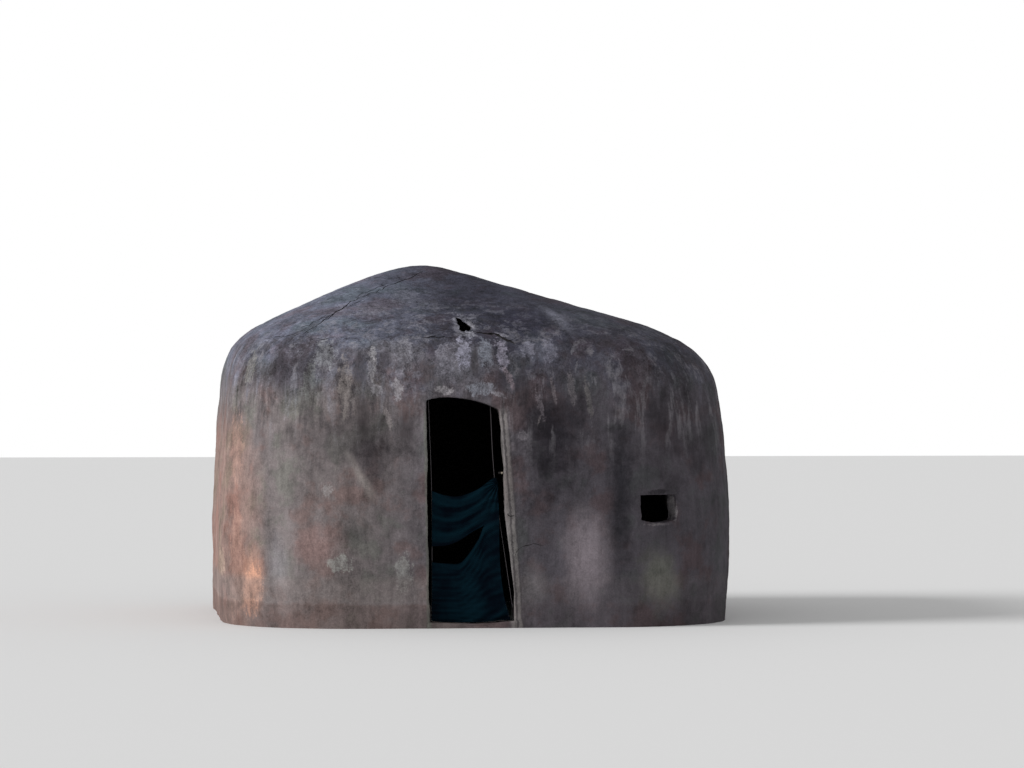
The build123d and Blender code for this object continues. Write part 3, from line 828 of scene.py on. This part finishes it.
stains = [
    # pale smears on the roof and down from the eaves
    {"at": (-0.55, 2.17), "size": (0.11, 0.11), "tone": tone(110, 111, 122), "amount": 0.5},
    {"at": (-1.076, 1.8), "size": (0.085, 0.13), "tone": tone(128, 129, 133), "amount": 0.75},
    {"at": (-0.945, 1.58), "size": (0.055, 0.27), "tone": tone(130, 123, 120), "amount": 0.7},
    {"at": (-0.765, 1.72), "size": (0.036, 0.15), "tone": tone(140, 137, 140), "amount": 0.75},
    {"at": (-0.76, 1.81), "size": (0.022, 0.06), "tone": tone(158, 156, 160), "amount": 0.75},
    {"at": (-0.556, 1.79), "size": (0.075, 0.12), "tone": tone(132, 130, 137), "amount": 0.7},
    {"at": (-0.285, 1.76), "size": (0.07, 0.15), "tone": tone(122, 120, 129), "amount": 0.65},
    {"at": (-0.18, 2.000), "size": (0.09, 0.07), "turn": -20, "tone": tone(128, 128, 138), "amount": 0.6},
    {"at": (-0.122, 1.99), "size": (0.024, 0.046), "turn": -40, "tone": tone(148, 146, 154), "amount": 0.8},
    {"at": (-0.145, 1.925), "size": (0.07, 0.028), "tone": tone(150, 150, 160), "amount": 0.75},
    {"at": (-0.165, 1.815), "size": (0.066, 0.15), "tone": tone(142, 141, 156), "amount": 0.9},
    {"at": (-0.021, 1.803), "size": (0.058, 0.12), "tone": tone(122, 126, 136), "amount": 0.75},
    {"at": (0.084, 1.79), "size": (0.05, 0.14), "turn": -8, "tone": tone(140, 136, 150), "amount": 0.85},
    {"at": (0.128, 1.65), "size": (0.028, 0.11), "turn": -24, "tone": tone(148, 134, 141), "amount": 0.55},
    {"at": (-0.045, 1.57), "size": (0.11, 0.058), "tone": tone(136, 139, 149), "amount": 0.7},
    {"at": (-0.3, 1.56), "size": (0.075, 0.036), "tone": tone(152, 148, 152), "amount": 0.8},
    {"at": (0.07, 1.53), "size": (0.07, 0.018), "turn": 24, "tone": tone(134, 130, 136), "amount": 0.7},
    {"at": (0.26, 1.83), "size": (0.05, 0.075), "turn": 20, "tone": tone(126, 125, 138), "amount": 0.6},
    {"at": (0.4, 1.82), "size": (0.06, 0.09), "tone": tone(118, 117, 130), "amount": 0.55},
    {"at": (0.085, 1.925), "size": (0.05, 0.016), "turn": 20, "tone": tone(142, 140, 150), "amount": 0.7},
    {"at": (0.335, 1.475), "size": (0.026, 0.15), "turn": -14, "tone": tone(122, 114, 120), "amount": 0.6},
    {"at": (0.425, 1.56), "size": (0.018, 0.12), "turn": -10, "tone": tone(116, 108, 112), "amount": 0.6},
    {"at": (0.545, 1.58), "size": (0.03, 0.15), "turn": -6, "tone": tone(112, 106, 110), "amount": 0.6},
    {"at": (0.66, 1.5), "size": (0.026, 0.15), "turn": -10, "tone": tone(110, 106, 105), "amount": 0.5},
    {"at": (0.33, 1.36), "size": (0.012, 0.06), "turn": 14, "tone": tone(124, 116, 118), "amount": 0.6},
    {"at": (0.226, 1.26), "size": (0.045, 0.034), "turn": -30, "tone": tone(126, 121, 126), "amount": 0.5},
    {"at": (-0.6, 1.57), "size": (0.042, 0.08), "tone": tone(150, 147, 152), "amount": 0.75},
    {"at": (-0.74, 1.56), "size": (0.048, 0.05), "tone": tone(146, 143, 148), "amount": 0.7},
    {"at": (-0.665, 1.38), "size": (0.026, 0.11), "turn": -20, "tone": tone(150, 142, 142), "amount": 0.65},
    {"at": (-0.905, 1.53), "size": (0.024, 0.17), "turn": -12, "tone": tone(136, 129, 128), "amount": 0.6},
    {"at": (-1.18, 1.64), "size": (0.05, 0.15), "turn": 6, "tone": tone(108, 110, 108), "amount": 0.5},
    {"at": (-1.56, 1.7), "size": (0.034, 0.15), "turn": 14, "tone": tone(124, 122, 116), "amount": 0.55},
    # dark runs between them
    {"at": (-0.85, 1.7), "size": (0.05, 0.15), "tone": tone(66, 60, 64), "amount": 0.65},
    {"at": (-0.67, 1.77), "size": (0.04, 0.08), "tone": tone(70, 66, 73), "amount": 0.6},
    {"at": (-0.83, 1.4), "size": (0.055, 0.19), "turn": -6, "tone": tone(64, 58, 60), "amount": 0.6},
    {"at": (-0.54, 1.32), "size": (0.065, 0.14), "tone": tone(66, 60, 63), "amount": 0.55},
    {"at": (-0.405, 1.68), "size": (0.07, 0.11), "tone": tone(74, 65, 66), "amount": 0.65},
    {"at": (-0.094, 1.73), "size": (0.034, 0.13), "tone": tone(62, 57, 60), "amount": 0.75},
    {"at": (0.035, 1.78), "size": (0.018, 0.08), "turn": -10, "tone": tone(70, 64, 68), "amount": 0.6},
    {"at": (0.078, 1.62), "size": (0.05, 0.08), "tone": tone(56, 53, 61), "amount": 0.6},
    {"at": (-1.36, 1.7), "size": (0.08, 0.16), "tone": tone(66, 61, 68), "amount": 0.5},
    {"at": (0.22, 1.56), "size": (0.065, 0.16), "tone": tone(48, 45, 49), "amount": 0.7},
    {"at": (0.5, 1.36), "size": (0.075, 0.2), "tone": tone(46, 44, 50), "amount": 0.5},
    # low on the walls
    {"at": (-1.06, 0.905), "size": (0.045, 0.05), "tone": tone(148, 144, 144), "amount": 0.7},
    {"at": (-0.56, 0.36), "size": (0.07, 0.15), "tone": tone(142, 142, 139), "amount": 0.75},
    {"at": (-0.974, 0.426), "size": (0.095, 0.075), "tone": tone(150, 150, 146), "amount": 0.8},
    # painted warm sunlight down the lit left corner, brightest at its foot
    {"at": (-1.55, 0.26), "size": (0.085, 0.2), "turn": 4, "tone": tone(204, 152, 126), "amount": 0.7},
    {"at": (-1.65, 0.42), "size": (0.06, 0.45), "tone": tone(158, 128, 116), "amount": 0.5},
    {"at": (-1.65, 1.2), "size": (0.06, 0.3), "tone": tone(160, 128, 116), "amount": 0.5},
    {"at": (-1.75, 0.45), "size": (0.03, 0.11), "tone": tone(172, 150, 136), "amount": 0.7},
    # the window's dark brow, painted shade under its head; its pale sill lip and right reveal, painted light
    {"at": (1.12, 0.89), "size": (0.12, 0.02), "turn": -5, "tone": tone(34, 32, 35), "amount": 0.85},
    {"at": (1.105, 0.676), "size": (0.09, 0.012), "tone": tone(128, 122, 124), "amount": 0.6},
    {"at": (1.21, 0.78), "size": (0.04, 0.095), "tone": tone(132, 128, 130), "amount": 0.8},
    # the doorway's trodden sill
    {"at": (-0.11, 0.036), "size": (0.3, 0.018), "tone": tone(150, 142, 138), "amount": 0.8},
]
for stain in broadStains + stains:
    stain["place"] = onSkin(*stain["at"])
    stain.setdefault("turn", 0)

# door jamb rim tones: pale and grey are painted highlights on the rounded edges, partly pale chipped plaster;
# groove is painted shade
rims = {
    "rightFoot": 0.163, "rightLean": 0.069, "leftFoot": -0.391, "leftLean": 0.0125,
    "pale": tone(146, 141, 138), "grey": tone(118, 120, 112), "groove": tone(52, 48, 52),
    "seam": tone(56, 52, 56),
}


def clayFinish(name, rimmed=False):
    shade = Shade(name)
    cut = shade.node("ShaderNodeSeparateXYZ", None, {0: shade.place}, output="X")
    height = Wire(shade, cut.socket.node.outputs["Z"])
    noises = [shade.noise(**settings) for settings in clayNoises.values()]
    broad, hue, blotch, mottle, grain, runs, fineRuns, scratches, bands, peeling = noises

    # clay tones with painted light: a warm sunlit left edge, then darker towards the right, where painted
    # tree shade and damp clay darken it; bluer on the roof, with painted light on its left slope and painted
    # shade on its right
    toRight = shade.between(cut + (broad - 0.5) * 0.3, -1.7, 1.5)
    shaded = shade.between(toRight, 0.0005, 0.016) + shade.between(height + (blotch - 0.5) * 0.4, 1.20, 1.50)
    wall = shade.blend(shaded, clayLook["edge"], clayLook["left"])
    wall = shade.blend(shade.between(toRight, 0.10, 0.45), wall, clayLook["middle"])
    wall = shade.blend(shade.between(toRight, 0.50, 0.72), wall, clayLook["right"])
    roof = shade.blend(shade.between(toRight, 0.12, 0.5), clayLook["roofLeft"], clayLook["roofMiddle"])
    roof = shade.blend(shade.between(toRight, 0.6, 0.9), roof, clayLook["roofRight"])
    onRoof = shade.between(height + (blotch - 0.5) * 0.7 + (runs - 0.5) * 0.7, 1.46, 1.92)
    colour = shade.blend(onRoof, wall, roof)
    colour = shade.blend(shade.between(hue, 0.50, 0.62), colour, clayLook["pink"], "MULTIPLY")
    colour = shade.blend(shade.between(hue, 0.48, 0.36), colour, clayLook["green"], "MULTIPLY")

    for stain in broadStains:
        width, tall = stain["size"]
        mask = shade.spot(stain["place"], (width, 0.6, tall), stain["turn"], blotch, 1.6, 0.95)
        colour = shade.blend(mask * stain["amount"], colour, stain["tone"])

    # under the eaves the rain has left dark and pale runs
    flecks = (blotch - 0.5) * 0.8 + (mottle - 0.5) * 1.5 + (fineRuns - 0.5) * 1.3 + (grain - 0.5) * 0.8
    chalky = shade.between(mottle * 0.5 + grain * 0.5, 0.40, 0.58, 0.45, 1.0)
    eaves = shade.between(height, 0.9, 1.5) * shade.between(height, 2.10, 1.82)
    scuffed = shade.between(height, 1.45, 1.70) * shade.between(height, 2.25, 2.0)
    scuffed = scuffed * shade.between(cut, 0.4, -0.2, 0.25, 1)
    scuffed = scuffed * shade.between(cut, -1.4, -0.9, 0.4, 1)
    colour = shade.blend(shade.between(peeling, 0.52, 0.57) * scuffed * 0.60, colour, clayLook["peeled"])
    colour = shade.blend(shade.between(peeling, 0.46, 0.40) * scuffed * 0.55, colour, clayLook["bare"])
    colour = shade.blend(shade.between(runs, 0.50, 0.34) * eaves * 0.50, colour, clayLook["darkRun"])
    washed = shade.between(runs + flecks * 0.06, 0.52, 0.66) * eaves
    colour = shade.blend(washed * 0.42, colour, clayLook["paleRun"])
    scored = onRoof * shade.between(cut, 0.0, -0.6, 0.12, 1)
    colour = shade.blend(shade.between(scratches, 0.52, 0.70) * scored * 0.40, colour, clayLook["scratch"])
    colour = shade.blend(shade.between(scratches, 0.46, 0.34) * scored * 0.35, colour, clayLook["score"])
    for stain in stains:
        width, tall = stain["size"]
        near = shade.spot(stain["place"], (width * 1.4, 0.4, tall * 1.4), stain["turn"], soft=1.0)
        mask = shade.between(near + flecks, 0.30, 0.66) * shade.between(near, 0.02, 0.22)
        colour = shade.blend(mask * chalky * stain["amount"], colour, stain["tone"])

    # the plastered foot: a pale ledge over a darker, redder band
    foot = height + (blotch - 0.5) * 0.07
    trodden = shade.between(cut + (broad - 0.5) * 0.6, 0.25, -0.15, 0.15, 1.0)
    colour = shade.blend(shade.band(foot, 0.245, 0.090) * trodden * 0.5, colour, clayLook["ledge"])
    apron = shade.between(foot, 0.175, 0.150)
    colour = shade.blend(apron * trodden * 0.55, colour, clayLook["foot"])
    if rimmed:
        # pale rims, painted highlights where the rounded jamb edges catch the light over paler chipped
        # plaster, with a dark groove along the right one, painted shade
        right = cut + height * rims["rightLean"] - rims["rightFoot"] + (mottle - 0.5) * 0.035
        left = rims["leftFoot"] - height * rims["leftLean"] - cut + (mottle - 0.5) * 0.03
        low = shade.between(height, 1.46, 1.38)
        colour = shade.blend(shade.band(right, 0.020, 0.040) * low * 0.55, colour, rims["pale"])
        colour = shade.blend(shade.band(left, 0.002, 0.018) * low * 0.55, colour, rims["grey"])
        colour = shade.blend(shade.band(right, 0.028, 0.007) * low * 0.6, colour, rims["groove"])
        colour = shade.blend(shade.band(right, 0.062, 0.006) * low * 0.4, colour, rims["seam"])

    # worn plaster, lighter and darker at every size
    busy = shade.between(height + (blotch - 0.5) * 0.5, 1.30, 1.70, 0.75, 1.5)
    busy = busy * shade.between(cut, 1.2, -0.2, 0.7, 1)
    worn = (mottle - 0.5) * 1.4 + (grain - 0.5) * 1.5 + (fineRuns - 0.5) * 0.8
    worn = 1.0 + worn * busy + (blotch - 0.5) * 1.4 + (bands - 0.5) * 1.1
    colour = shade.node("ShaderNodeVectorMath", {"operation": "SCALE"}, {0: colour, "Scale": worn})
    rough = shade.between(mottle, 0.2, 0.8, 0.84, 0.98)
    relief = mottle * 0.7 + grain * 0.14 + scratches * scored * 0.3 + fineRuns * 0.2 + blotch * 0.8
    relief = relief + apron * 0.5
    shade.surface.inputs["Specular IOR Level"].default_value = clayLook["specular"]
    return shade.finish(colour, rough, relief, 0.8, 0.012)


wallClay = clayFinish("wallClay")
roofClay = clayFinish("roofClay")
jambClay = clayFinish("jambClay", rimmed=True)


# dark colours standing in for shade: inside the room and inside the cracks
plainLooks = {
    "innerClay": {"grain": 5, "dark": tone(24, 22, 24), "light": tone(44, 40, 38), "bumps": 30},
    "crackedClay": {"grain": 40, "dark": tone(16, 14, 16), "light": tone(34, 30, 32)},
}


def plainFinish(name):
    shade = Shade(name)
    look = plainLooks[name]
    colour = shade.blend(shade.noise(look["grain"], detail=3), look["dark"], look["light"])
    return shade.finish(colour, 0.95, shade.noise(look["bumps"], detail=4) if "bumps" in look else None)


innerClay = plainFinish("innerClay")
crackedClay = plainFinish("crackedClay")

# Painted shade: faces that look into the room, and the deep sides of the openings, are dark for the shade
# inside, and those in a crack are dark for the shade in it
room = {
    "width": 1.708, "depth": 1.70, "corner": 0.90, "reveal": 0.108, "joint": 1.56, "ceiling": 1.6,
    "inward": -0.1,
}
coating = {"near": 0.0006, "along": 0.7, "sharp": 38}


def isInside(place, normal):
    # true for a face that looks into the room
    if place.z > room["joint"]:
        outward = Vector((place.x - peak.x, place.y, room["ceiling"])).normalized()
        return normal.dot(outward) < room["inward"]
    x = abs(place.x) - room["width"] + room["corner"]
    y = abs(place.y) - room["depth"] + room["corner"]
    depth = room["corner"] - math.hypot(max(x, 0), max(y, 0)) - min(max(x, y), 0)
    return depth > room["reveal"]


def coat(piece, outside):
    piece.data.materials.clear()
    for clay in (outside, innerClay, crackedClay):
        piece.data.materials.append(clay)
    for face in piece.data.polygons:
        place, across = crackSurface.find_nearest(face.center, coating["near"])[:2]
        if place is not None and abs(across.dot(face.normal)) > coating["along"]:
            face.material_index = 2
        else:
            face.material_index = 1 if isInside(face.center, face.normal) else 0
    pick(piece)
    bpy.ops.object.shade_smooth_by_angle(angle=math.radians(coating["sharp"]))


coats = {"wall_clay": wallClay, "roof_clay": roofClay, "jamb_clay": jambClay}
for name, piece in clayPieces.items():
    plan = shellPieces.get(name) or surrounds.get(name) or {"slot": "jamb_clay", "nodes": ("door_sill",)}
    coat(piece, coats[plan["slot"]])
    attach(piece, "root")
    if plan["nodes"]:
        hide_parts(*plan["nodes"])
for spare in (wholeSkin, crackLines):
    bpy.data.objects.remove(spare)
print("clay coated:", len(clayPieces), "pieces")


# Net, cord and peg finishes
netLook = {
    "threads": (260, 520), "dark": tone(0, 7, 20), "light": tone(7, 38, 50), "mesh": tone(3, 10, 18),
    "specular": 0.06, "cord": tone(96, 92, 96), "cordShade": tone(66, 62, 64),
    "peg": tone(196, 186, 170), "pegFibre": tone(160, 148, 130), "pegDarkPart": tone(40, 36, 34),
}


def netFinish():
    shade = Shade("greenNet")
    weave = shade.node("ShaderNodeTexCoord", output="UV")
    threads = shade.node("ShaderNodeMapping", None, {"Vector": weave, "Scale": (*netLook["threads"], 1)})
    across = shade.node("ShaderNodeSeparateXYZ", None, {0: threads}, output="X")
    up = Wire(shade, across.socket.node.outputs["Y"])
    knit = shade.between(across.maths("SINE", across) * up.maths("SINE", up), -0.6, 0.6)
    faded = shade.noise(7, detail=4)
    forward = shade.node("ShaderNodeSeparateXYZ", None, {0: shade.place}, output="Y")
    # painted light and shade: folds that stand forward are lighter, those set back darker
    lit = shade.between(forward + (faded - 0.5) * 0.04, curtain["depth"] + 0.012, curtain["depth"] - 0.013)
    colour = shade.blend(lit, netLook["dark"], netLook["light"])
    colour = shade.blend(knit * 0.5, colour, netLook["mesh"])
    shade.surface.inputs["Specular IOR Level"].default_value = netLook["specular"]
    return shade.finish(colour, shade.between(knit, 0, 1, 0.8, 0.95), knit, 0.4, 0.001)


def cordFinish():
    shade = Shade("paleCord")
    spiral = shade.noise(1.0, stretch=(700, 700, 420), detail=1)
    colour = shade.blend(spiral, netLook["cordShade"], netLook["cord"])
    return shade.finish(colour, 0.9, spiral, 0.5, 0.001)


def pegFinish():
    # dark along most of its length, pale at the end by the jamb
    shade = Shade("pegWood")
    low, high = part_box("curtain_peg")
    fibre = shade.noise(1.0, stretch=(60, 500, 500), detail=3)
    along = shade.node("ShaderNodeSeparateXYZ", None, {0: shade.place}, output="X")
    towardsJamb = shade.between(along, low[0] * 0.5 + high[0] * 0.5, low[0] * 0.3 + high[0] * 0.7)
    colour = shade.blend(fibre, netLook["pegFibre"], netLook["peg"])
    colour = shade.blend(towardsJamb, netLook["pegDarkPart"], colour)
    return shade.finish(colour, 0.85, fibre, 0.5, 0.001)


netCurtain.data.materials.clear()
netCurtain.data.materials.append(netFinish())
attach(netCurtain, "root")
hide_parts("door_curtain")

paleCord = cordFinish()
for name in ("curtain_cord_left", "curtain_cord_right"):
    frame["nodes"][name].material_slots[0].material = paleCord
frame["nodes"]["curtain_peg"].material_slots[0].material = pegFinish()
print("curtain hung")

# Plain floor, sky and lamps
stand = {"size": 120, "grey": 0.8, "roughness": 0.9}
bpy.ops.mesh.primitive_plane_add(size=stand["size"], location=(0, 0, 0))
floor = bpy.context.object
floor.name = "floor"
paper = bpy.data.materials.new("paper")
paper.use_nodes = True
sheet = paper.node_tree.nodes["Principled BSDF"]
sheet.inputs["Base Color"].default_value = (stand["grey"], stand["grey"], stand["grey"], 1)
sheet.inputs["Roughness"].default_value = stand["roughness"]
floor.data.materials.append(paper)

# the camera sees white behind the hut, where the sky gives a softer light
light = {"sky": 0.5, "sun": 2.4, "softness": 25, "from": (-0.87, -0.15, 0.47)}
world = bpy.data.worlds.new("studio")
bpy.context.scene.world = world
world.use_nodes = True
sky = world.node_tree
background = sky.nodes["Background"]
background.inputs["Color"].default_value = (1, 1, 1, 1)
path = sky.nodes.new("ShaderNodeLightPath")
brightness = sky.nodes.new("ShaderNodeMapRange")
brightness.inputs["To Min"].default_value = light["sky"]
brightness.inputs["To Max"].default_value = 1
sky.links.new(path.outputs["Is Camera Ray"], brightness.inputs["Value"])
sky.links.new(brightness.outputs["Result"], background.inputs["Strength"])
aim = Vector(light["from"]).to_track_quat("Z", "Y").to_euler()
bpy.ops.object.light_add(type="SUN", rotation=aim)
bpy.context.object.data.energy = light["sun"]
bpy.context.object.data.angle = math.radians(light["softness"])
bpy.context.scene.view_settings.view_transform = "Standard"
